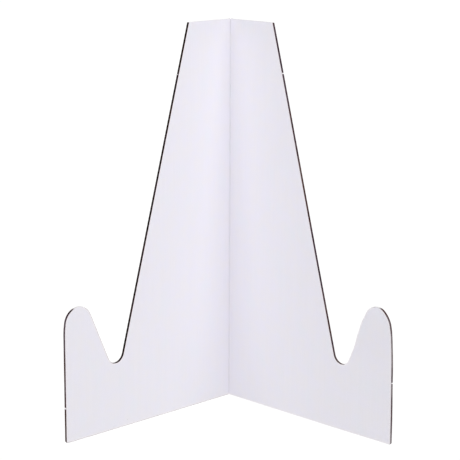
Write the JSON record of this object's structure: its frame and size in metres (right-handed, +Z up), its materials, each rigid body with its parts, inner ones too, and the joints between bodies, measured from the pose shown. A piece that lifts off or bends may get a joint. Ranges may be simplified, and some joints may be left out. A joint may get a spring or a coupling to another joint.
{
  "type": "display easel",
  "caption": "Folding V-shaped display easel of white-faced board, creased down the middle, with a rounded notch and an upright hook on each wing to hold a plate, book or picture.",
  "frame": {"origin": "middle of the footprint's box, on the table: below the middle of the object's box", "axes": "+Z up along the crease, +Y away from the viewer, towards the crease at the back of the V, +X to the viewer's right"},
  "size_m": [0.2434, 0.1216, 0.305],
  "materials": {
    "core_board": "matte",
    "front_paper": "matte",
    "crease_paper": "matte",
    "back_paper": "matte"
  },
  "bodies": {
    "left_wing": {"left_core": "core_board", "left_front_facing": "front_paper", "left_back_facing": "back_paper", "spine_crease": "crease_paper"},
    "right_wing": {"right_core": "core_board", "right_front_facing": "front_paper", "right_back_facing": "back_paper"}
  },
  "joints": [
    {"name": "crease_fold", "type": "hinge", "parent": "left_wing", "child": "right_wing", "pos_m": [0, 0.05952, 0], "axis": [0, 0, 1], "range_deg": [-88, 90], "deforming": ["spine_crease"]}
  ]
}
